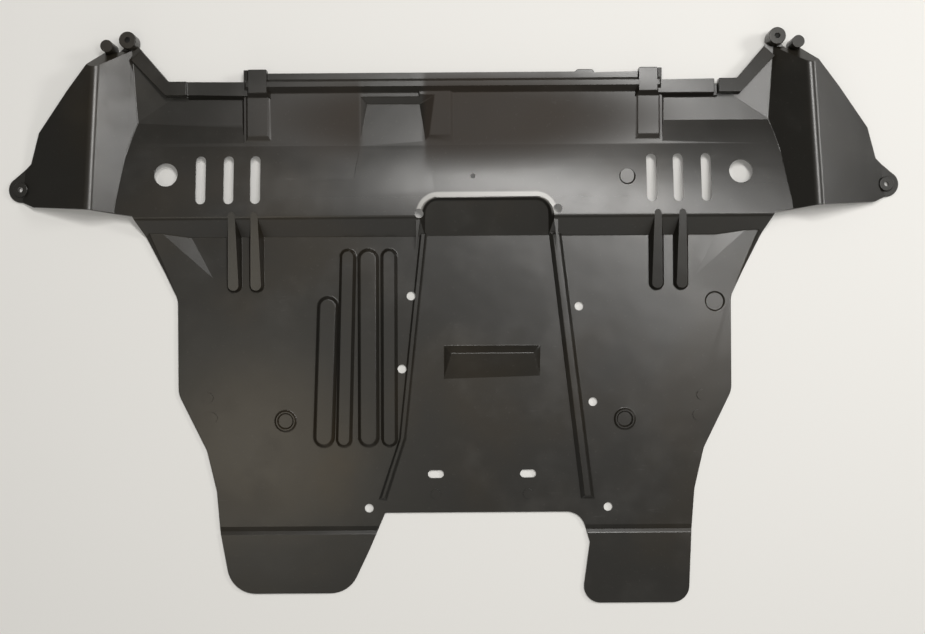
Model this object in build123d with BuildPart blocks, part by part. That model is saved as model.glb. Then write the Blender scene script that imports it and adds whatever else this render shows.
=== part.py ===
from build123d import *
import os
from math import atan2
from math import cos
from math import degrees
from math import radians
from math import sin
from math import sqrt
from math import tan

# Front underbody guard of a car: one moulded plastic panel.
#
# The panel lies as it is fitted, seen from above. +X is to the right in the photograph,
# +Y points to the front edge and +Z up. The origin is the middle of the outline, on the
# surface that the panel rests on. All sizes are in millimetres.
#
# Each form of the panel is a function of depth. Depth 0 gives its upper faces. A depth of
# one wall moves every face in by the wall and gives the hollow underneath.

os.makedirs("parts", exist_ok=True)

# Sheet
wall = 3.0
flange_depth = 8.0

# Outline: the body
side_x = 345.0
side_front_y = 26.0
side_rear_y = -92.0
taper_x = 310.0
taper_y = -163.0
hip_x = 298.0
hip_y = -214.0
slant_front_x = 396.5
slant_front_y = 129.0
slant_mid_x = 361.0
slant_mid_y = 60.0
body_radius = 30.0

# Outline: the two rear tabs and the notch between them
tab_crease_y = -264.0
tab_edge_x = 294.0
left_tab_end_y = -342.0
left_tab_outer_x = -280.0
left_tab_inner = (-134.0, -108.0)
left_tab_bend = 24.0
right_tab_end_y = -356.0
right_tab_outer_x = 290.0
right_tab_inner = (156.0, 167.0)
right_tab_bend = 16.0
notch_y = -242.0
notch_left_x = -88.0
notch_right_x = 156.0
left_tab_radius = 36.0
right_tab_radius = 21.0
notch_left_radius = 16.0
notch_right_radius = 24.0

# Outline: the front edge
centre_half = 259.0
centre_front_y = 304.5
strip_front_y = 294.5
block_front_y = 309.0
block_width = 29.0
block_inner_x = centre_half - block_width
lip_tab_x = 163.0
lip_tab_half = 12.0
lip_tab_reach = 3.0
root_step = 1.0

# Outline: the wings
tip_x = 539.0
tip_y = 164.0
tip_radius = 16.0
wing_rear_y = 135.5
tip_fall = 6.0
wing_root_x = 352.0
outer_high_x = 475.0
outer_high_y = 283.5
outer_low_x = 515.0
outer_low_y = 234.0
outer_foot_x = 526.0
outer_foot_y = 196.0

# Wing tent: the ridge runs rearward, and its faces fall to both sides
ridge_front = (436.0, 309.0)
ridge_rear = (445.0, 135.0)
ridge_front_height = 40.0
ridge_rear_height = 44.0
outer_foot_height = 6.0
inner_foot = (411.5, 140.0)
inner_foot_height = 16.0
tent_root_x = 385.0
ridge_end_run = 11.0
ridge_end_drop = 13.0
ridge_radius = 12.0

# Wing root: the face that falls from the ears to the side strip, and its raised rim, which
# runs on from the strip's rim and sinks a little towards the ears
side_strip_x = 300.0
root_rear_y = 225.0
root_high = (416.0, 309.0, 8.0)
root_ear = (390.0, 326.0, 8.0)
root_low = (362.0, 268.0, 3.0)
root_rim_width = 15.0
root_rim_end = 2.0
root_rim_west = (329.0, 290.0, 17.5)
root_rim_bend = (352.0, 295.5, 16.5)
root_rim_ear = (391.0, 335.0, 12.5)
rim_notch_width = 5.0
rim_notch_height = 6.0

# Ears on the wing peaks
ear_x = 400.0
ear_y = 345.5
ear_radius = 10.5
ear_bore = 7.0
ear_bottom = 5.0
ear_top = 24.0
peg_x = 424.0
peg_y = 337.0
peg_radius = 7.5
peg_bottom = 5.0
peg_top = 30.0

# Where the outline leaves the rounds of the ear, the peg and the wing tip, in radii
ear_left = (-0.9, -0.5)
ear_right = (0.7, -0.6)
peg_left = (-1.4, -0.5)
peg_right = (0.87, -0.5)
tip_front = (0.7, 0.7)
tip_rear = (-0.1, -1.0)

# Room around the panel in which its forms are cut, and the reach past a face
margin = 1.0
below = 10 * wall
above = ridge_rear_height + below
half_room_x = 1.2 * tip_x
half_room_y = 1.3 * ear_y

# Hump across the panel: a band that curves up rearward to a crest, then steps down. Its
# section is one arc, from the foot of the band to the crest, where it is nearly level
crest_y = 125.0
crest_height = 22.0
step_foot_y = 103.0
band_foot_y = 246.0
crest_tilt = 2.5
hump_front_y = 260.0
hump_front_x = 401.0
hump_rear_x = 467.0
hump_draft = 45.0
hump_corner_radius = 30.0
crest_radius = 8.0
band_run = band_foot_y - crest_y
foot_tilt = 2 * degrees(atan2(crest_height - wall, band_run)) - crest_tilt
band_radius = band_run / (sin(radians(foot_tilt)) - sin(radians(crest_tilt)))
band_centre_y = crest_y - band_radius * sin(radians(crest_tilt))
band_centre_height = crest_height - band_radius * cos(radians(crest_tilt))

# Trough and rim along the front
lip_height = 16.0
bead_height = 19.0
bead_y = 290.5
bead_width = 6.0
bead_fall = 3.0
trough_front_y = 281.0
trough_rear_y = 215.0
trough_height = 10.0
trough_end_step = 3.0
end_draft = 20.0
flange_low = 6.0
flange_end = 7.0

# Raised blocks at both ends of the trough, and the collar beside the pocket
block_rear_y = 222.0
block_rear_run = 6.0
block_height = 19.5
block_low_y = 280.0
block_low_height = 12.0
block_low_draft = 60.0
collar_left_x = -24.0
collar_right_x = 0.0
collar_rear_y = 222.0
collar_height = 12.0
block_draft = 22.0

# Side strips in front of the hump
strip_rim_height = 14.0
strip_rim_y = 278.0
strip_rim_run = 3.5

# Pocket in the trough: a scoop that is deepest behind the rim
pocket_left_x = -107.0
pocket_right_x = -42.0
pocket_rear_right_x = -33.0
pocket_front_y = 268.0
pocket_rear_y = 214.0
pocket_front_height = 3.0
pocket_rear_height = 11.0
pocket_draft = 48.0

# Channel cut through the hump
channel_front_y = 141.0
channel_left_x = -31.0
channel_right_x = 113.0
channel_flare = 8.0
channel_draft = 26.0
channel_radius = 12.0
channel_ramp_height = 12.0
channel_lip_width = 7.5
channel_lip_height = 21.6
channel_lip_draft = 75.0

# Beads that carry the channel's sides on over the plate
edge_bead_draft = 40.0
edge_bead_front_y = 108.0
edge_bead_rear_y = -226.0
left_bead_width = 9.0
left_bead_height = 3.0
left_bead_x = -38.0
left_bead_bend = (-66.0, -150.0)
left_bead_rear_x = -91.0
right_bead_width = 16.0
right_bead_height = 5.0
right_bead_x = 126.0
right_bead_rear_x = 165.0

# Ribs on the left of the plate, each given by its front x, rear x, front y and width
rib_height = 5.0
rib_draft = 38.0
rib_rear_y = -160.0
ribs = [(-157.0, -164.0, 29.0, 27.0), (-132.0, -139.0, 88.0, 21.0),
        (-107.0, -108.0, 88.0, 27.0), (-81.0, -82.0, 88.0, 21.0)]

# Gusset beads that bridge the step of the hump
gusset_width = 18.0
gusset_draft = 14.0
gusset_front_y = 138.0
gusset_rear_y = 34.0
gusset_front_height = 23.0
gusset_rear_height = 12.0
gussets_x = [-274.0, -246.0, 252.0, 282.5]

# Ridge along each slanted edge
slant_ridge_width = 50.0
slant_ridge_crest = 8.0
slant_ridge_height = 9.0
slant_ridge_length = 112.0

# Louver wedge in the channel
louver_left_x = -13.0
louver_right_x = 106.0
louver_front_y = -34.0
louver_crest_y = -43.0
louver_rear_y = -72.0
louver_height = 8.0

# Holes
wing_hole = 29.0
wing_hole_x = 355.5
wing_hole_y = 180.0
slot_width = 12.5
slot_length = 60.0
slot_y = 173.0
slots_x = [245.0, 278.0, 312.5]
flank_hole = 11.0
flank_holes = [(-43.0, 130.0), (-54.0, 28.5), (-66.0, -62.5), (-108.0, -236.0),
               (128.5, 135.0), (155.5, 14.5), (172.0, -105.0), (190.0, -236.0)]
rear_slot_width = 10.0
rear_slot_length = 20.0
rear_slots_x = [-24.5, 90.5]
rear_slot_y = -194.0
tip_bore = 6.5
tip_hub_radius = 9.0
tip_hub_height = 7.5
band_hole = 6.0
band_hole_x = 24.0
band_hole_y = 176.0

# Raised and sunk marks in the upper face
mark_height = 2.6
mark_draft = 35.0
low_mark_height = 1.4
ring_radius = 13.5
ring_width = 5.0
ring_x = 211.5
ring_y = -126.5
pad_radius = 6.5
pads = [(308.0, -97.0), (303.0, -122.0)]
dot_radius = 6.0
dot_y = -219.0
dimple_depth = 1.8
dimple_draft = 25.0
plate_dimple = (325.0, 19.5, 13.0)
band_dimple = (215.0, 175.0, 11.0)
crease_depth = 1.9
crease_front_run = 6.0
crease_rear_run = 4.0


def face_through(a, b, c, depth):
    """The plane through three points, moved down square to itself by depth."""
    a, b, c = Vector(*a), Vector(*b), Vector(*c)
    normal = (b - a).cross(c - a).normalized()
    if normal.Z < 0:
        normal = -normal
    return Plane(origin=a - normal * depth, z_dir=normal)


def cross_face(low, high, depth):
    """A plane along X through two points (y, z), moved in by depth."""
    return face_through((0, *low), (100, *low), (0, *high), depth)


def long_face(low, high, depth):
    """A plane along Y through two points (x, z), moved in by depth."""
    a, b = (low[0], 0, low[1]), (low[0], 100, low[1])
    return face_through(a, b, (high[0], 0, high[1]), depth)


def level(height, depth):
    """A level plane, lowered by depth."""
    return Plane.XY.offset(height - depth)


def under(area, faces):
    """A column over a plan area, cut off above each of the faces."""
    with BuildPart() as column:
        with BuildSketch(Plane.XY.offset(-below)):
            with BuildLine():
                Polyline(*area, close=True)
            make_face()
        extrude(amount=below + above)
        for face in faces:
            split(bisect_by=face, keep=Keep.BOTTOM)
    return column.part


def over(area, faces):
    """The space over a plan area that lies above each of the faces."""
    with BuildPart() as space:
        with BuildSketch(Plane.XY.offset(-below)):
            with BuildLine():
                Polyline(*area, close=True)
            make_face()
        extrude(amount=below + above)
        for face in faces:
            split(bisect_by=face, keep=Keep.TOP)
    return space.part


def area_box(x0, y0, x1, y1):
    """The corners of a plan rectangle."""
    return [(x0, y0), (x1, y0), (x1, y1), (x0, y1)]


def both_sides(form):
    """The form with its mirror image on the left side."""
    with BuildPart() as pair:
        add(form)
        mirror(about=Plane.YZ)
    return pair.part


def between(corners, rear_y, front_y):
    """The corners from rear_y to front_y."""
    return corners.filter_by_position(Axis.Y, rear_y - margin, front_y + margin)


def beside(x, y, radius, share):
    """A point beside a round, given in shares of its radius."""
    return (x + share[0] * radius, y + share[1] * radius)


def plan_outline(inset):
    """The outline of the panel seen from above, moved in by inset."""
    centre = [
        (-centre_half, strip_front_y),
        (-centre_half, block_front_y),
        (-block_inner_x, block_front_y),
        (-block_inner_x, centre_front_y),
        (lip_tab_x - lip_tab_half, centre_front_y),
        (lip_tab_x - lip_tab_half + lip_tab_reach, centre_front_y + lip_tab_reach),
        (lip_tab_x + lip_tab_half - lip_tab_reach, centre_front_y + lip_tab_reach),
        (lip_tab_x + lip_tab_half, centre_front_y),
        (block_inner_x, centre_front_y),
        (block_inner_x, block_front_y),
        (centre_half, block_front_y),
        (centre_half, strip_front_y),
    ]
    wing = [
        (wing_root_x, strip_front_y + root_step),
        beside(ear_x, ear_y, ear_radius, ear_left),
        beside(ear_x, ear_y, ear_radius, ear_right),
        beside(peg_x, peg_y, peg_radius, peg_left),
        beside(peg_x, peg_y, peg_radius, peg_right),
        (outer_high_x, outer_high_y),
        (outer_low_x, outer_low_y),
        (outer_foot_x, outer_foot_y),
        beside(tip_x, tip_y, tip_radius, tip_front),
        (tip_x, tip_y),
        beside(tip_x, tip_y, tip_radius, tip_rear),
        (tip_x - tip_radius, wing_rear_y + tip_fall),
        (ridge_rear[0], wing_rear_y),
        (slant_front_x, slant_front_y),
        (slant_mid_x, slant_mid_y),
        (side_x, side_front_y),
        (side_x, side_rear_y),
        (taper_x, taper_y),
        (hip_x, hip_y),
        (tab_edge_x, tab_crease_y),
    ]
    right_tab = [
        (right_tab_outer_x, right_tab_end_y),
        (right_tab_inner[0], right_tab_end_y),
        (right_tab_inner[1], tab_crease_y - right_tab_bend),
        (notch_right_x, notch_y),
    ]
    left_tab = [
        (notch_left_x, notch_y),
        (left_tab_inner[1], tab_crease_y - left_tab_bend),
        (left_tab_inner[0], left_tab_end_y),
        (left_tab_outer_x, left_tab_end_y),
    ]
    left_wing = [(-x, y) for x, y in reversed(wing)]
    with BuildSketch() as outline:
        with BuildLine():
            Polyline(*centre, *wing, *right_tab, *left_tab, *left_wing, close=True)
        make_face()
        if inset:
            offset(amount=-inset, kind=Kind.ARC)
        else:
            corners = outline.vertices()
            fillet(between(corners, right_tab_end_y, right_tab_end_y), right_tab_radius)
            corners = outline.vertices()
            fillet(between(corners, left_tab_end_y, left_tab_end_y), left_tab_radius)
            corners = outline.vertices()
            fillet(between(corners, hip_y, slant_mid_y), body_radius)
            corners = outline.vertices()
            notch = between(corners, notch_y, notch_y)
            fillet(notch.sort_by(Axis.X)[-1], notch_right_radius)
            fillet(notch.sort_by(Axis.X)[0], notch_left_radius)
            with Locations((tip_x, tip_y), (-tip_x, tip_y)):
                Circle(tip_radius)
            with Locations((ear_x, ear_y), (-ear_x, ear_y)):
                Circle(ear_radius)
            with Locations((peg_x, peg_y), (-peg_x, peg_y)):
                Circle(peg_radius)
    return outline.sketch


def plan_column(inset):
    """A column over the whole outline."""
    with BuildPart() as column:
        add(plan_outline(inset))
        extrude(amount=above)
        extrude(plan_outline(inset), amount=-below)
    return column.part


def wing_outer_face(depth):
    """The face from the ridge out to the wing tip."""
    front = (*ridge_front, ridge_front_height)
    rear = (*ridge_rear, ridge_rear_height)
    return face_through(front, rear, (outer_foot_x, outer_foot_y, outer_foot_height), depth)


def wing_tent(depth):
    """Ridge and its two faces, falling out to the tip and in to the hump."""
    front = (*ridge_front, ridge_front_height)
    rear = (*ridge_rear, ridge_rear_height)
    inner = face_through(front, rear, (*inner_foot, inner_foot_height), depth)
    end_side = (outer_high_x, ridge_front[1], ridge_front_height)
    end_low = (ridge_front[0], ridge_front[1] + ridge_end_run,
               ridge_front_height - ridge_end_drop)
    end = face_through(front, end_side, end_low, depth)
    with BuildPart() as tent:
        area = area_box(tent_root_x, step_foot_y, half_room_x, half_room_y)
        add(under(area, [wing_outer_face(depth), inner, end]))
        ridge = tent.edges().filter_by(Axis.Y, tolerance=5).group_by(Axis.Z)[-1]
        fillet(ridge, ridge_radius - depth)
    return tent.part


def wing_root(depth):
    """The low corner between the ears, the side strip and the tent."""
    area = area_box(side_strip_x, root_rear_y, outer_low_x, half_room_y)
    root_face = face_through(root_high, root_ear, root_low, depth)
    return under(area, [wing_outer_face(depth), root_face])


def root_rim(depth):
    """Raised rim along the front edge of the wing root."""
    start = Vector(wing_root_x, strip_front_y + root_step)
    end = Vector(ear_x - ear_radius, ear_y - ear_radius)
    along = (end - start).normalized()
    across = Vector(along.Y, -along.X)
    last = end - along * root_rim_end
    inner = across * (root_rim_width - depth)
    outer = across * -root_rim_width
    west_x = root_rim_west[0] + depth
    inner_y = strip_rim_y + depth
    bend = start + inner + along * ((inner_y - (start + inner).Y) / along.Y)
    corners = [start + outer, last + outer, last + inner, bend, Vector(west_x, inner_y),
               Vector(west_x, half_room_y)]
    top = face_through(root_rim_west, root_rim_bend, root_rim_ear, depth)
    return under([(p.X, p.Y) for p in corners], [top])


def band_height(y):
    """Height of the band's arc above the floor."""
    return band_centre_height + sqrt(band_radius ** 2 - (y - band_centre_y) ** 2)


def hump(depth):
    """Band across the panel, curving up to its crest and stepping down to the plate."""
    middle_y = (crest_y + band_foot_y) / 2
    rear_y = step_foot_y - 2 * crest_height
    with BuildPart() as form:
        with BuildSketch() as plan:
            with BuildLine():
                Polyline((-hump_front_x, hump_front_y), (hump_front_x, hump_front_y),
                         (hump_rear_x, rear_y), (-hump_rear_x, rear_y), close=True)
            make_face()
            fillet(plan.vertices().group_by(Axis.Y)[-1], hump_corner_radius)
            offset(amount=-depth / cos(radians(hump_draft)), kind=Kind.INTERSECTION)
        extrude(amount=crest_height + margin, taper=hump_draft)
        with BuildSketch(Plane.YZ) as section:
            with BuildLine():
                ThreePointArc((crest_y, crest_height), (middle_y, band_height(middle_y)),
                              (band_foot_y, wall))
                Polyline((band_foot_y, wall), (half_room_y, wall), (half_room_y, -below),
                         (rear_y, -below), (rear_y, wall), (step_foot_y, wall),
                         (crest_y, crest_height))
            make_face()
            offset(amount=-depth, kind=Kind.INTERSECTION)
        extrude(amount=half_room_x, both=True, mode=Mode.INTERSECT)
        crest = form.edges().filter_by(Axis.X).sort_by(Axis.Z)[-1]
        fillet(crest, crest_radius - depth)
    return form.part


def channel_void(depth):
    """What the channel takes out of the hump: its floor rises to the front wall."""
    ramp = cross_face((step_foot_y, wall), (channel_front_y, channel_ramp_height), depth)
    rear_y = step_foot_y - crest_height
    with BuildPart() as void:
        with BuildSketch(Plane.XY.offset(wall - depth)) as plan:
            with BuildLine():
                Polyline((channel_left_x, channel_front_y), (channel_right_x, channel_front_y),
                         (channel_right_x + channel_flare, rear_y),
                         (channel_left_x - channel_flare, rear_y), close=True)
            make_face()
            fillet(plan.vertices().group_by(Axis.Y)[-1], channel_radius)
            offset(amount=depth / cos(radians(channel_draft)), kind=Kind.INTERSECTION)
        extrude(amount=2 * crest_height, taper=-channel_draft)
        split(bisect_by=ramp, keep=Keep.TOP)
    return void.part


def channel_lip(depth):
    """Gentle raised lip on the band around the channel's front wall."""
    rear_y = step_foot_y
    slope = radians(channel_lip_draft)
    base = channel_lip_height - channel_lip_width / tan(slope)
    wall_run = (base - wall) * tan(radians(channel_draft))
    with BuildPart() as form:
        with BuildSketch(Plane.XY.offset(base - depth / cos(radians(90) - slope))) as plan:
            with BuildLine():
                Polyline((channel_left_x, channel_front_y), (channel_right_x, channel_front_y),
                         (channel_right_x, rear_y), (channel_left_x, rear_y), close=True)
            make_face()
            reach = wall_run + channel_lip_width
            offset(amount=reach, kind=Kind.INTERSECTION)
            fillet(plan.vertices().group_by(Axis.Y)[-1], channel_radius + reach)
        extrude(amount=channel_lip_height - base, taper=channel_lip_draft)
    return form.part


def trough(depth):
    """The long central section of the front: lip, bead and trough floor."""
    half_bead = bead_width / 2
    trough_end_x = centre_half + trough_end_step
    end_run = (bead_height - wall) * tan(radians(end_draft))
    right = long_face((trough_end_x, wall), (trough_end_x - end_run, bead_height), depth)
    left = long_face((-trough_end_x, wall), (-trough_end_x + end_run, bead_height), depth)
    with BuildPart() as form:
        with BuildSketch(Plane.YZ):
            with BuildLine():
                Polyline((trough_rear_y, -below), (trough_rear_y, trough_height),
                         (trough_front_y, trough_height),
                         (bead_y - half_bead, bead_height), (bead_y + half_bead, bead_height),
                         (bead_y + half_bead + bead_fall, lip_height),
                         (half_room_y, lip_height), (half_room_y, -below), close=True)
            make_face()
            offset(amount=-depth, kind=Kind.INTERSECTION)
        extrude(amount=2 * trough_end_x, both=True)
        split(bisect_by=right, keep=Keep.BOTTOM)
        split(bisect_by=left, keep=Keep.BOTTOM)
    return form.part


def trough_block(depth):
    """Raised block at the right end of the trough, high at the lip and low behind it."""
    run = (block_height - wall) * tan(radians(block_draft))
    outer = long_face((centre_half, wall), (centre_half - run, block_height), depth)
    inner = long_face((block_inner_x - run, wall), (block_inner_x, block_height), depth)
    drop = cross_face((block_low_y - block_rear_run, trough_height),
                      (block_low_y, block_height), depth)
    high_area = area_box(block_inner_x - run, trough_rear_y, centre_half + run, half_room_y)
    low_run = (block_low_height - trough_height) * tan(radians(block_low_draft))
    low_inner = long_face((block_inner_x - low_run, trough_height),
                          (block_inner_x, block_low_height), depth)
    rear = cross_face((block_rear_y, trough_height),
                      (block_rear_y + block_rear_run, block_low_height), depth)
    low_area = area_box(block_inner_x - low_run, block_rear_y, centre_half + run, bead_y)
    with BuildPart() as block:
        add(under(high_area, [level(block_height, depth), outer, inner, drop]))
        add(under(low_area, [level(block_low_height, depth), outer, low_inner, rear]))
    return block.part


def pocket_collar(depth):
    """Raised strip on the right of the pocket, whose side is the pocket's right wall."""
    run = (collar_height - trough_height) * tan(radians(block_low_draft))
    right = long_face((collar_right_x, trough_height),
                      (collar_right_x - run, collar_height), depth)
    rear = cross_face((collar_rear_y, trough_height),
                      (collar_rear_y + block_rear_run, collar_height), depth)
    area = area_box(pocket_right_x, collar_rear_y, collar_right_x, bead_y)
    return under(area, [level(collar_height, depth), right, rear])


def strip_rim(depth):
    """Raised rim at the front of the right side strip."""
    rear = cross_face((strip_rim_y - strip_rim_run, wall), (strip_rim_y, strip_rim_height), depth)
    area = area_box(block_inner_x, trough_rear_y, root_rim_west[0] + depth, half_room_y)
    return under(area, [level(strip_rim_height, depth), rear])


def rim_notch(depth):
    """Gap in the right rim where the strip's rim meets the rim of the wing root."""
    x = root_rim_west[0]
    area = area_box(x - rim_notch_width - depth, band_foot_y, x + depth, half_room_y)
    return over(area, [level(rim_notch_height, depth)])


def pocket_void(depth):
    """Scoop in the trough: its floor rises rearward to the band."""
    rise = lip_height - pocket_front_height
    run = tan(radians(pocket_draft)) * rise
    z = pocket_front_height
    floor = cross_face((pocket_front_y, z), (pocket_rear_y, pocket_rear_height), depth)
    front = cross_face((pocket_front_y, z), (pocket_front_y + run, z + rise), depth)
    left = long_face((pocket_left_x, z), (pocket_left_x - run, z + rise), depth)
    right = face_through((pocket_right_x, pocket_front_y, z),
                         (pocket_rear_right_x, pocket_rear_y, pocket_rear_height),
                         (collar_left_x, pocket_front_y, collar_height), depth)
    area = area_box(pocket_left_x - 3 * run, crest_y, pocket_rear_right_x + 3 * run, bead_y)
    return over(area, [floor, front, left, right])


def slant_ridge(depth):
    """Ridge along the right slanted edge, highest at the wing."""
    front = Vector(slant_front_x, slant_front_y)
    rear = Vector(slant_mid_x, slant_mid_y)
    along = (rear - front).normalized()
    inward = Vector(along.Y, -along.X)
    if inward.X > 0:
        inward = -inward
    end = front + along * slant_ridge_length
    crest = inward * slant_ridge_crest
    foot = inward * slant_ridge_width
    high = Vector(0, 0, slant_ridge_height)
    base = Vector(0, 0, wall)
    outer = face_through(tuple(front + base), tuple(end + base), tuple(front + crest + high), depth)
    inner = face_through(tuple(front + foot + base), tuple(end + foot + base),
                         tuple(front + crest + high), depth)
    top = face_through(tuple(front + high), tuple(front + foot + high), tuple(end + base), depth)
    side = inward * 2 * slant_ridge_width
    start = front - along * slant_ridge_crest
    area = [start + side, start - side, end - side, end + side]
    return under([(p.X, p.Y) for p in area], [outer, inner, top])


def louver(depth):
    """Wedge across the channel, steep in front."""
    top = wall + louver_height
    front = cross_face((louver_front_y, wall), (louver_crest_y, top), depth)
    rear = cross_face((louver_rear_y, wall), (louver_crest_y, top), depth)
    left = long_face((louver_left_x, wall), (louver_left_x + louver_height, top), depth)
    right = long_face((louver_right_x, wall), (louver_right_x - louver_height, top), depth)
    area = area_box(louver_left_x, louver_rear_y, louver_right_x, louver_front_y)
    return under(area, [front, rear, left, right])


def bead(front, rear, width, height, draft, depth):
    """Long round-ended bead on the plate, between its two ends."""
    slope = radians(draft)
    inset = depth * (1 / cos(slope) - tan(slope))
    run = Vector(*rear) - Vector(*front)
    middle = Vector(*front) + run * 0.5
    turn = Vector(1, 0).get_signed_angle(run, Vector(0, 0, 1))
    with BuildPart() as form:
        with BuildSketch(Plane.XY.offset(wall - depth)):
            with Locations((middle.X, middle.Y)):
                SlotOverall(run.length - 2 * inset, width - 2 * inset, rotation=turn)
        extrude(amount=height, taper=draft)
    return form.part


def edge_bead(points, width, height, depth):
    """Long bead with straight ends through points of its middle line."""
    slope = radians(edge_bead_draft)
    half = width / 2 - depth * (1 / cos(slope) - tan(slope))
    left = [(x - half, y) for x, y in points]
    right = [(x + half, y) for x, y in reversed(points)]
    with BuildPart() as form:
        with BuildSketch(Plane.XY.offset(wall - depth)):
            with BuildLine():
                Polyline(*left, *right, close=True)
            make_face()
        extrude(amount=height, taper=edge_bead_draft)
    return form.part


def gusset(x, depth):
    """Bead that bridges the step: its top falls rearward more gently than the step."""
    top = cross_face((gusset_front_y, gusset_front_height), (gusset_rear_y, gusset_rear_height),
                     depth)
    with BuildPart() as form:
        add(bead((x, gusset_front_y), (x, gusset_rear_y), gusset_width,
                 gusset_front_height, gusset_draft, depth))
        split(bisect_by=top, keep=Keep.BOTTOM)
    return form.part


def formed(depth):
    """All the forms of the panel together, each with its faces moved in by depth."""
    with BuildPart() as forms:
        with BuildSketch(Plane.XY.offset(-below)):
            Rectangle(2 * half_room_x, 2 * half_room_y)
        extrude(amount=below + wall - depth)
        add(hump(depth))
        add(channel_lip(depth))
        add(channel_void(depth), mode=Mode.SUBTRACT)
        add(trough(depth))
        add(both_sides(trough_block(depth)))
        add(pocket_collar(depth))
        add(pocket_void(depth), mode=Mode.SUBTRACT)
        add(both_sides(strip_rim(depth)))
        add(both_sides(root_rim(depth)))
        add(rim_notch(depth), mode=Mode.SUBTRACT)
        add(both_sides(wing_root(depth)))
        add(both_sides(wing_tent(depth)))
        add(both_sides(slant_ridge(depth)))
        add(louver(depth))
        for x in gussets_x:
            add(gusset(x, depth))
        for front_x, rear_x, front_y, width in ribs:
            add(bead((front_x, front_y), (rear_x, rib_rear_y), width, rib_height, rib_draft, depth))
        left_line = [(left_bead_x, edge_bead_front_y), left_bead_bend,
                     (left_bead_rear_x, edge_bead_rear_y)]
        add(edge_bead(left_line, left_bead_width, left_bead_height, depth))
        right_line = [(right_bead_x, edge_bead_front_y), (right_bead_rear_x, edge_bead_rear_y)]
        add(edge_bead(right_line, right_bead_width, right_bead_height, depth))
    return forms.part


def flange_space():
    """Everything deeper under the wings than their turned edges."""
    with BuildPart() as space:
        with BuildSketch(Plane.XY.offset(-below)):
            Rectangle(2 * half_room_x, 2 * half_room_y)
        extrude(amount=below)
        add(both_sides(wing_root(flange_depth)))
        add(both_sides(wing_tent(flange_depth)))
        with BuildSketch():
            with Locations((0, block_front_y)):
                Rectangle(2 * (wing_root_x - flange_end), 2 * (block_front_y - bead_y))
        extrude(amount=flange_low)
    return space.part


def wing_ears():
    """The eyelet and the peg on each wing peak, without the bore."""
    with BuildPart() as ears:
        with BuildSketch(Plane.XY.offset(ear_bottom)):
            with Locations((ear_x, ear_y), (-ear_x, ear_y)):
                Circle(ear_radius)
        extrude(amount=ear_top - ear_bottom)
        with BuildSketch(Plane.XY.offset(peg_bottom)):
            with Locations((peg_x, peg_y), (-peg_x, peg_y)):
                Circle(peg_radius)
        extrude(amount=peg_top - peg_bottom)
        with BuildSketch():
            with Locations((tip_x, tip_y), (-tip_x, tip_y)):
                Circle(tip_hub_radius)
        extrude(amount=tip_hub_height)
    return ears.part


def through_holes():
    """Columns through every round hole and slot."""
    with BuildPart() as holes:
        with BuildSketch(Plane.XY.offset(-below)):
            with Locations((wing_hole_x, wing_hole_y), (-wing_hole_x, wing_hole_y)):
                Circle(wing_hole / 2)
            for x in slots_x:
                with Locations((x, slot_y), (-x, slot_y)):
                    SlotOverall(slot_length, slot_width, rotation=90)
            with Locations(*flank_holes):
                Circle(flank_hole / 2)
            with Locations(*[(x, rear_slot_y) for x in rear_slots_x]):
                SlotOverall(rear_slot_length, rear_slot_width)
            with Locations((tip_x, tip_y), (-tip_x, tip_y)):
                Circle(tip_bore / 2)
            with Locations((ear_x, ear_y), (-ear_x, ear_y)):
                Circle(ear_bore / 2)
            with Locations((band_hole_x, band_hole_y)):
                Circle(band_hole / 2)
        extrude(amount=below + above)
    return holes.part


def raised_marks():
    """Low rings, pads and dots on the plate."""
    with BuildPart() as marks:
        with BuildSketch(Plane.XY.offset(wall)):
            with Locations((ring_x, ring_y), (-ring_x, ring_y)):
                Circle(ring_radius)
        extrude(amount=mark_height, taper=mark_draft)
        with BuildSketch(Plane.XY.offset(wall)):
            with Locations(*pads, *[(-x, y) for x, y in pads]):
                Circle(pad_radius)
            with Locations(*[(x, dot_y) for x in rear_slots_x]):
                Circle(dot_radius)
        extrude(amount=low_mark_height)
        with BuildSketch(Plane.XY.offset(wall)):
            with Locations((ring_x, ring_y), (-ring_x, ring_y)):
                Circle(ring_radius - ring_width)
        extrude(amount=2 * mark_height, taper=-mark_draft, mode=Mode.SUBTRACT)
    return marks.part


def sunk_marks():
    """Round dimples, and the crease across the root of the rear tabs."""
    with BuildPart() as marks:
        x, y, radius = plate_dimple
        with BuildSketch(Plane.XY.offset(wall - dimple_depth)):
            with Locations((x, y)):
                Circle(radius - dimple_depth)
        extrude(amount=2 * dimple_depth, taper=-dimple_draft)
        x, y, radius = band_dimple
        with BuildSketch(Plane.XY.offset(band_height(y) - dimple_depth)):
            with Locations((x, y)):
                Circle(radius - dimple_depth)
        extrude(amount=3 * dimple_depth, taper=-dimple_draft)
        with BuildSketch(Plane.YZ):
            with BuildLine():
                Polyline((tab_crease_y + crease_front_run, wall), (tab_crease_y, wall - crease_depth),
                         (tab_crease_y - crease_rear_run, wall), close=True)
            make_face()
        extrude(amount=side_x, both=True)
    return marks.part


with BuildPart() as hollow:
    add(formed(wall))
    add(plan_column(wall), mode=Mode.INTERSECT)
    add(flange_space())

with BuildPart() as undertray_panel:
    add(formed(0.0))
    add(plan_column(0.0), mode=Mode.INTERSECT)
    add(hollow.part, mode=Mode.SUBTRACT)
    add(wing_ears())
    add(raised_marks())
    add(sunk_marks(), mode=Mode.SUBTRACT)
    add(through_holes(), mode=Mode.SUBTRACT)

undertray_panel.part.label = "undertray_panel"
export_step(undertray_panel.part, "parts/undertray_panel.step")
print("valid", undertray_panel.part.is_valid, "solids", len(undertray_panel.part.solids()))
print("volume", round(undertray_panel.part.volume / 1000, 1), "cm3")
print(undertray_panel.part.bounding_box())
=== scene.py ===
import math

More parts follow.
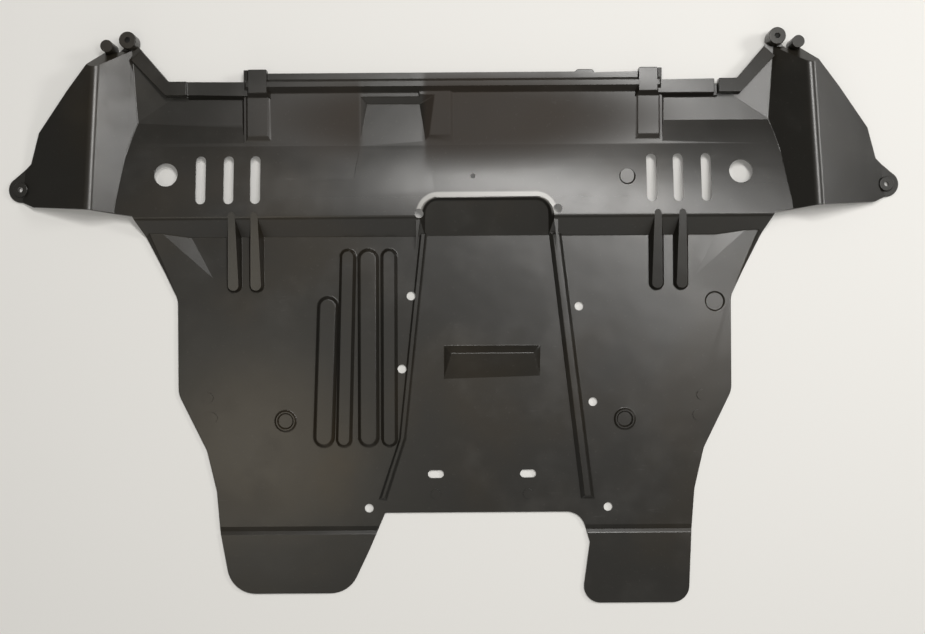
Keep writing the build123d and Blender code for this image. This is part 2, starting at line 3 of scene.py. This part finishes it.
import bmesh
import bpy
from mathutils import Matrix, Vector, geometry
from mathutils.bvhtree import BVHTree


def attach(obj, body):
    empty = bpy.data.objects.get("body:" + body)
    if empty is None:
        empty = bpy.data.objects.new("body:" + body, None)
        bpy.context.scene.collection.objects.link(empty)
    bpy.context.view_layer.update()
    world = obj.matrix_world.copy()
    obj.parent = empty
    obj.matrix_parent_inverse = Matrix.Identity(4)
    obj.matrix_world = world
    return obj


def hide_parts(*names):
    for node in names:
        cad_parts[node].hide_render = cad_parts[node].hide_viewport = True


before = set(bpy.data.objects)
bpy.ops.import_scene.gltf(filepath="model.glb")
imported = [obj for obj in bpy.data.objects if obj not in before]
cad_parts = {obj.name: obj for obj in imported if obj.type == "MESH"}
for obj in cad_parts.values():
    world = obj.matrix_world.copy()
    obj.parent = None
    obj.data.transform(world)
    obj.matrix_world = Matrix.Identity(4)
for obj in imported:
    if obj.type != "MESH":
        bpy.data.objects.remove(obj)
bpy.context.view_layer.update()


# Camera
# It hangs a metre and a half above the panel and looks straight down, turned a little
# so that the panel's right side stands higher in the picture.
camera_height = 1.5
camera_x = 0.01
camera_y = 0.0018
camera_turn = -0.007
sensor_width = 36.0
picture_width = 1.15625

camera_data = bpy.data.cameras.new("camera")
camera_data.sensor_width = sensor_width
camera_data.lens = sensor_width * camera_height / picture_width
camera = bpy.data.objects.new("camera", camera_data)
camera.location = (camera_x, camera_y, camera_height)
camera.rotation_euler = (0.0, 0.0, camera_turn)
bpy.context.scene.collection.objects.link(camera)
bpy.context.scene.camera = camera


# Panel
# One sheet of black polypropylene, injection moulded with an even wall. The mould leaves
# every edge rounded, and a fine satin skin that picks up dust, brown stains and scuffs.
# Its colour also carries painted light: a brown sheen on the left rear of the plate and a pale
# highlight along the channel lip.

# Its cross band is one arc, from a foot at the trough up to a crest at the step.
wall = 0.003
crest_y = 0.125
crest_height = 0.022
crest_tilt = math.radians(2.5)
band_foot_y = 0.246
band_run = band_foot_y - crest_y
foot_tilt = 2 * math.atan2(crest_height - wall, band_run) - crest_tilt
band_radius = band_run / (math.sin(foot_tilt) - math.sin(crest_tilt))
band_centre_y = crest_y - band_radius * math.sin(crest_tilt)
band_centre_height = crest_height - band_radius * math.cos(crest_tilt)
strip_depth = 0.005
level_enough = 0.95
arc_tolerance = 0.0001
crest_margin = 0.002
cut_tolerance = 1e-6
merge_distance = 2e-5
flat_angle = math.radians(0.25)

# Its edges are rounded, apart from those that lie too close together for it.
edge_radius = 0.0009
edge_segments = 3
rounded_angle = math.radians(18.0)
shortest_edge = 0.0013
largest_stray = 0.0006
smallest_fold = 1e-9
turned_over = 0.3
surface_reach = 1.5 * edge_radius
edge_reach = 3 * edge_radius

# Its broad faces are shaded flat, and its narrow ones run into each other.
broad_face = 0.006
broad_turn = math.radians(4.0)
narrow_turn = math.radians(36.0)
own_share = 1e-12


def on_arc(face, radius):
    """True for a face of the cross band whose corners all lie on its arc."""
    return abs(face.normal.z) > level_enough and all(
        crest_y - crest_margin < vert.co.y < band_foot_y
        and abs(math.hypot(vert.co.y - band_centre_y, vert.co.z - band_centre_height) - radius)
        < arc_tolerance for vert in face.verts)


def curve_band(form, radius):
    """Cuts one skin of the cross band into strips whose edges lie on its arc."""
    arc_faces = [face for face in form.faces if on_arc(face, radius)]
    band = list(dict.fromkeys(
        part for face in arc_faces for part in (face, *face.edges, *face.verts)))
    for step in range(1, math.ceil(band_run / strip_depth)):
        cut = bmesh.ops.bisect_plane(
            form, geom=band, plane_co=(0.0, crest_y + step * strip_depth, 0.0),
            plane_no=(0.0, 1.0, 0.0), dist=cut_tolerance)
        band = cut["geom"]
        for part in cut["geom_cut"]:
            if isinstance(part, bmesh.types.BMVert):
                part.co.z = band_centre_height + math.sqrt(
                    radius ** 2 - (part.co.y - band_centre_y) ** 2)


def with_rounded_edges(form, edge_indices, surface):
    """A copy of the form with these edges rounded and no corner thrown off its surface."""
    copy = form.copy()
    copy.edges.ensure_lookup_table()
    bmesh.ops.bevel(copy, geom=[copy.edges[index] for index in sorted(edge_indices)],
                    offset=edge_radius, offset_type="OFFSET", affect="EDGES",
                    segments=edge_segments, profile=0.5, clamp_overlap=False, material=-1)
    for vert in copy.verts:
        nearest, normal, index, distance = surface.find_nearest(vert.co)
        if distance > largest_stray:
            vert.co = nearest
    return copy


def distance_to(edge, point):
    """How far a point lies from the nearest place on an edge."""
    start, end = (vert.co for vert in edge.verts)
    nearest, share = geometry.intersect_point_line(point, start, end)
    if share < 0.0:
        nearest = start
    elif share > 1.0:
        nearest = end
    return (nearest - point).length


def edges_at_folds(copy, form, edge_indices, surface):
    """The rounded edges beside each triangle that their rounding has turned over."""
    found = set()
    for corners in copy.calc_loop_triangles():
        spots = [loop.vert.co for loop in corners]
        if geometry.area_tri(*spots) < smallest_fold:
            continue
        start, end = max(zip(spots, spots[1:] + spots[:1]),
                         key=lambda side: (side[0] - side[1]).length)
        middle = (start + end) / 2
        facing = geometry.normal(spots)
        around = surface.find_nearest_range(middle, surface_reach)
        if all(facing.dot(normal) < turned_over
               for nearest, normal, index, distance in around):
            found.update(
                edge.index for nearest, normal, index, distance in around
                for vert in form.faces[index].verts for edge in vert.link_edges
                if edge.index in edge_indices and distance_to(edge, middle) < edge_reach)
    return found


def shading_normals(form):
    """A normal for each corner: broad faces look flat, narrow ones run into each other."""
    areas = {face: face.calc_area() for face in form.faces}
    normals = []
    for face in form.faces:
        breadth = areas[face] / max(edge.calc_length() for edge in face.edges)
        limit = math.cos(broad_turn if breadth > broad_face else narrow_turn)
        for loop in face.loops:
            normal = face.normal * own_share
            for other in loop.vert.link_faces:
                if other.normal.dot(face.normal) > limit:
                    normal += other.normal * areas[other]
            normals.append(normal.normalized())
    return normals


panel_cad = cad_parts["undertray_panel"]
panel_form = bmesh.new()
panel_form.from_mesh(panel_cad.data)
bmesh.ops.remove_doubles(panel_form, verts=panel_form.verts[:], dist=merge_distance)
curve_band(panel_form, band_radius)
curve_band(panel_form, band_radius - wall)
bmesh.ops.dissolve_limit(panel_form, angle_limit=flat_angle, verts=panel_form.verts[:],
                         edges=panel_form.edges[:])
panel_form.normal_update()
for parts in (panel_form.verts, panel_form.edges, panel_form.faces):
    parts.index_update()
panel_form.faces.ensure_lookup_table()

panel_surface = BVHTree.FromBMesh(panel_form)
crowded = {vert for edge in panel_form.edges if edge.calc_length() < shortest_edge
           for vert in edge.verts}
rounded = {edge.index for edge in panel_form.edges
           if len(edge.link_faces) == 2 and edge.calc_face_angle() > rounded_angle
           and not crowded.intersection(edge.verts)}
skin_form = with_rounded_edges(panel_form, rounded, panel_surface)
while folded := edges_at_folds(skin_form, panel_form, rounded, panel_surface):
    rounded -= folded
    skin_form.free()
    skin_form = with_rounded_edges(panel_form, rounded, panel_surface)
panel_form.free()

bmesh.ops.remove_doubles(skin_form, verts=skin_form.verts[:], dist=merge_distance)
for face in skin_form.faces:
    face.smooth = True
skin_form.normal_update()
skin_normals = shading_normals(skin_form)
panel_mesh = bpy.data.meshes.new("undertray_skin")
skin_form.to_mesh(panel_mesh)
skin_form.free()
panel_mesh.normals_split_custom_set(skin_normals)
panel = bpy.data.objects.new("undertray_skin", panel_mesh)
bpy.context.scene.collection.objects.link(panel)


class Wire:
    """A node's output that adds a maths node when it is used in an expression."""

    def __init__(self, finish, socket):
        self.finish = finish
        self.socket = socket

    def maths(self, operation, *values):
        return self.finish.node("Math", "Value", dict(enumerate(values)), operation=operation)

    def __add__(self, other):
        return self.maths("ADD", self, other)

    def __radd__(self, other):
        return self.maths("ADD", other, self)

    def __sub__(self, other):
        return self.maths("SUBTRACT", self, other)

    def __rsub__(self, other):
        return self.maths("SUBTRACT", other, self)

    def __mul__(self, other):
        return self.maths("MULTIPLY", self, other)

    def __rmul__(self, other):
        return self.maths("MULTIPLY", other, self)

    def __pow__(self, other):
        return self.maths("POWER", self, other)

    def __rpow__(self, other):
        return self.maths("POWER", other, self)

    def size(self):
        """The value without its sign."""
        return self.maths("ABSOLUTE", self)

    def over(self, floor):
        """The value, but no less than floor."""
        return self.maths("MAXIMUM", self, floor)

    def between(self, low, high):
        """0 up to low, 1 from high on, and a soft step between them."""
        return self.finish.node("MapRange", "Result",
                                {"Value": self, "From Min": low, "From Max": high},
                                interpolation_type="SMOOTHSTEP")


class Finish:
    """The nodes of a material or of the room. Every one of them is added by node()."""

    mix_amount, mix_first, mix_second, mix_result = 0, 6, 7, 2
    spot_edge = (0.35, 1.0)

    def __init__(self, owner):
        self.owner = owner
        owner.use_nodes = True
        self.tree = owner.node_tree
        self.tree.nodes.clear()

    def node(self, kind, output, sockets, **settings):
        """Adds a node: its settings first, then a value or a wire for each socket."""
        node = self.tree.nodes.new("ShaderNode" + kind)
        for name, value in settings.items():
            setattr(node, name, value)
        for name, value in sockets.items():
            if isinstance(value, Wire):
                self.tree.links.new(value.socket, node.inputs[name])
            else:
                node.inputs[name].default_value = value
        return None if output is None else Wire(self, node.outputs[output])

    def noise(self, place, scale, detail=3.0, roughness=0.5):
        return self.node("TexNoise", "Fac", {"Vector": place, "Scale": scale,
                                             "Detail": detail, "Roughness": roughness})

    def streaks(self, place, turn, stretch):
        """The place turned and stretched, so that noise on it runs in streaks."""
        return self.node("Mapping", "Vector", {"Vector": place, "Rotation": (0.0, 0.0, turn),
                                               "Scale": stretch})

    def blend(self, amount, first, second):
        """The first colour where amount is 0, and the second where it is 1."""
        return self.node("Mix", self.mix_result,
                         {self.mix_amount: amount, self.mix_first: first,
                          self.mix_second: second}, data_type="RGBA")

    def spot(self, place, middle, half_width, half_length):
        """1 inside a soft-edged oval around a point of the panel, 0 outside it."""
        shifted = self.node("Mapping", "Vector", {
            "Vector": place,
            "Location": (-middle[0] / half_width, -middle[1] / half_length, 0.0),
            "Scale": (1.0 / half_width, 1.0 / half_length, 0.0)})
        reach = self.node("VectorMath", "Value", {"Vector": shifted}, operation="LENGTH")
        return 1.0 - reach.between(*self.spot_edge)

    def bumps(self, height, distance, strength, under=None):
        """Relief of the surface from a height, laid over other relief if there is any."""
        sockets = {"Height": height, "Distance": distance, "Strength": strength}
        if under is not None:
            sockets["Normal"] = under
        return self.node("Bump", "Normal", sockets)


plastic_black = (0.0150, 0.0138, 0.0115, 1.0)
plastic_brown = (0.040, 0.027, 0.011, 1.0)
dried_mud = (0.020, 0.012, 0.006, 1.0)
dust_grey = (0.085, 0.080, 0.072, 1.0)
scuff_grey = (0.11, 0.105, 0.10, 1.0)
highlight_grey = (0.42, 0.41, 0.39, 1.0)
plastic_ior = 1.5

moulded = Finish(bpy.data.materials.new("moulded_black"))
place = moulded.node("TexCoord", "Object", {})
across = moulded.node("SeparateXYZ", "X", {"Vector": place})
along = moulded.node("SeparateXYZ", "Y", {"Vector": place})

# Mud has dried in the trough, but not in its pocket.
trough_middle = (0.0, 0.25)
trough_half_width = 0.34
trough_half_length = 0.075
pocket_x = -0.075
pocket_edge = (0.034, 0.044)
in_trough = moulded.spot(place, trough_middle, trough_half_width, trough_half_length)
mud = in_trough * (across - pocket_x).size().between(*pocket_edge)

# Brown stains lie all over in patches. On the left rear of the plate a brown patch is painted
# sheen, a painted reflection of the warm lamp, mottled by the stains.
sheen_middle = (-0.24, -0.16)
sheen_half_width = 0.17
sheen_half_length = 0.15
patch_edge = (0.46, 0.70)
patch_share = 0.3
sheen_share = 0.35
sheen_patch_share = 0.45
plate_sheen = moulded.spot(place, sheen_middle, sheen_half_width, sheen_half_length)
stain = moulded.noise(place, scale=4.5, detail=4.0).between(*patch_edge)
stains_and_sheen = stain * patch_share + plate_sheen * (sheen_share + stain * sheen_patch_share)

# A thin film of dust, pale specks, and scuffs that run in two directions.
film_edge = (0.46, 0.78)
speck_edge = (0.66, 0.74)
rub_turn = 0.35
rub_stretch = (9.0, 120.0, 40.0)
rub_edge = (0.66, 0.74)
wipe_turn = -0.9
wipe_stretch = (7.0, 95.0, 40.0)
wipe_edge = (0.68, 0.76)
film = moulded.noise(place, scale=11.0, detail=6.0, roughness=0.62).between(*film_edge)
specks = moulded.noise(place, scale=260.0, detail=2.0).between(*speck_edge)
rubbed = moulded.noise(moulded.streaks(place, rub_turn, rub_stretch),
                       scale=3.0, detail=5.0, roughness=0.6)
wiped = moulded.noise(moulded.streaks(place, wipe_turn, wipe_stretch),
                      scale=2.6, detail=5.0, roughness=0.6)
scuffs = rubbed.between(*rub_edge) + wiped.between(*wipe_edge)

# A pale painted highlight runs along the raised lip round the channel's front end, where its
# rounded crest catches the lamps.
channel_x = 0.041
lip_corner_x = 0.060
lip_corner_y = 0.129
lip_inner_edge = (0.0195, 0.0215)
lip_outer_edge = (0.026, 0.0285)
lip_end = (0.126, 0.134)
beyond_x = (across - channel_x).size() - lip_corner_x
beyond_y = along - lip_corner_y
from_corner = (beyond_x.over(0.0) ** 2.0 + beyond_y.over(0.0) ** 2.0) ** 0.5
on_lip = from_corner.between(*lip_inner_edge) - from_corner.between(*lip_outer_edge)
painted_lip_highlight = on_lip * along.between(*lip_end)

# These lie over each other on the plastic, the painted sheen and the painted lip highlight
# among them. The dust, scuffs and mud also dull its gloss.
mud_share = 0.75
mud_patch_share = 0.25
film_share = 0.12
speck_share = 0.15
scuff_share = 0.4
lip_highlight_share = 0.75
colour = moulded.blend(stains_and_sheen, plastic_black, plastic_brown)
colour = moulded.blend(mud * (mud_share + stain * mud_patch_share), colour, dried_mud)
colour = moulded.blend(film * film_share + specks * speck_share, colour, dust_grey)
colour = moulded.blend(scuffs * film * scuff_share, colour, scuff_grey)
colour = moulded.blend(painted_lip_highlight * lip_highlight_share, colour, highlight_grey)
clean_gloss = 0.285
film_gloss = 0.07
scuff_gloss = 0.05
mud_gloss = 0.38
gloss = clean_gloss + film * film_gloss + scuffs * scuff_gloss + mud * mud_gloss

# The sheet is a little wavy, and the mould gives it a fine grain.
wave_height = 0.0010
grain_height = 0.00005
wave = moulded.noise(place, scale=12.0, detail=2.0)
grain = moulded.noise(place, scale=1400.0, detail=2.0)
waves = moulded.bumps(wave, wave_height, strength=0.5)
relief = moulded.bumps(grain, grain_height, strength=0.3, under=waves)
skin = moulded.node("BsdfPrincipled", "BSDF", {
    "Base Color": colour, "Roughness": gloss, "Normal": relief, "IOR": plastic_ior})
moulded.node("OutputMaterial", None, {"Surface": skin})
panel_mesh.materials.append(moulded.owner)

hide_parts("undertray_panel")
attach(panel, "root")


# Floor
# A plain pale floor that the panel lies on. The camera and reflections see it a little paler
# than it is lit, and it keeps the panel's shadow.
floor_size = 60.0
floor_drop = 0.0006
floor_grey = (0.70, 0.693, 0.675, 1.0)
floor_glow = (0.125, 0.123, 0.1185, 1.0)
no_glow = (0.0, 0.0, 0.0, 1.0)
floor_roughness = 0.7

floor_form = bmesh.new()
bmesh.ops.create_grid(floor_form, x_segments=1, y_segments=1, size=floor_size / 2)
bmesh.ops.translate(floor_form, verts=floor_form.verts[:], vec=(0.0, 0.0, -floor_drop))
floor_mesh = bpy.data.meshes.new("floor")
floor_form.to_mesh(floor_mesh)
floor_form.free()
floor = bpy.data.objects.new("floor", floor_mesh)
bpy.context.scene.collection.objects.link(floor)
pale = Finish(bpy.data.materials.new("pale_floor"))
seen = (pale.node("LightPath", "Is Camera Ray", {})
        + pale.node("LightPath", "Is Glossy Ray", {})
        + pale.node("LightPath", "Is Transmission Ray", {}))
glow = pale.blend(seen, no_glow, floor_glow)
ground = pale.node("BsdfPrincipled", "BSDF", {
    "Base Color": floor_grey, "Roughness": floor_roughness, "Emission Color": glow,
    "Emission Strength": 1.0})
pale.node("OutputMaterial", None, {"Surface": ground})
floor_mesh.materials.append(pale.owner)


# Light
# A row of soft ceiling lamps from the front middle to the right side, a weak warm one at the
# rear left, and a low window on the right. The room is bright overhead and at the rear, and
# as pale as the floor below its horizon.
ceiling = 2.6
lamp_white = (1.0, 0.985, 0.96)
lamp_warm = (1.0, 0.93, 0.78)


def soft_light(name, place, target, width, height, watts, colour=lamp_white):
    """A rectangular lamp that faces the target and is not seen by the camera itself."""
    lamp = bpy.data.lights.new(name, "AREA")
    lamp.shape = "RECTANGLE"
    lamp.size = width
    lamp.size_y = height
    lamp.energy = watts
    lamp.color = colour
    holder = bpy.data.objects.new(name, lamp)
    holder.location = place
    towards = Vector(target) - Vector(place)
    holder.rotation_euler = towards.to_track_quat("-Z", "Y").to_euler()
    holder.visible_camera = False
    bpy.context.scene.collection.objects.link(holder)


soft_light("middle_lamp", (0.15, 1.14, ceiling), (0.1, 0.15, 0.0),
           width=0.44, height=0.30, watts=18.0)
soft_light("right_lamp", (0.51, 0.74, ceiling), (0.15, 0.1, 0.0),
           width=0.30, height=0.40, watts=17.0)
soft_light("side_lamp", (0.88, 0.27, ceiling), (0.2, 0.1, 0.0),
           width=0.30, height=0.22, watts=9.5)
soft_light("warm_lamp", (-0.70, -0.45, ceiling), (-0.2, -0.1, 0.0),
           width=0.5, height=0.4, watts=3.0, colour=lamp_warm)
soft_light("right_window", (2.2, 0.72, 1.45), (-0.2, 0.2, 0.0),
           width=0.7, height=0.5, watts=18.0)

room_zenith = (0.345, 0.340, 0.324, 1.0)
room_horizon = (0.132, 0.131, 0.125, 1.0)
room_rear = (0.79, 0.77, 0.725, 1.0)
room_foot = (0.50, 0.495, 0.48, 1.0)
zenith_edge = (0.55, 1.0)
rear_edge = (0.72, 0.97)
foot_edge = (0.04, 0.10)
bpy.context.scene.world = bpy.data.worlds.new("room")
room = Finish(bpy.context.scene.world)
direction = room.node("TexCoord", "Generated", {})
up = room.node("SeparateXYZ", "Z", {"Vector": direction})
rearward = 0.0 - room.node("SeparateXYZ", "Y", {"Vector": direction})
walls = room.blend(up.between(*zenith_edge), room_horizon, room_zenith)
walls = room.blend(rearward.between(*rear_edge), walls, room_rear)
walls = room.blend(up.between(*foot_edge), room_foot, walls)
air = room.node("Background", "Background", {"Color": walls, "Strength": 1.0})
room.node("OutputWorld", None, {"Surface": air})

bpy.context.scene.view_settings.view_transform = "Standard"

bpy.context.view_layer.update()
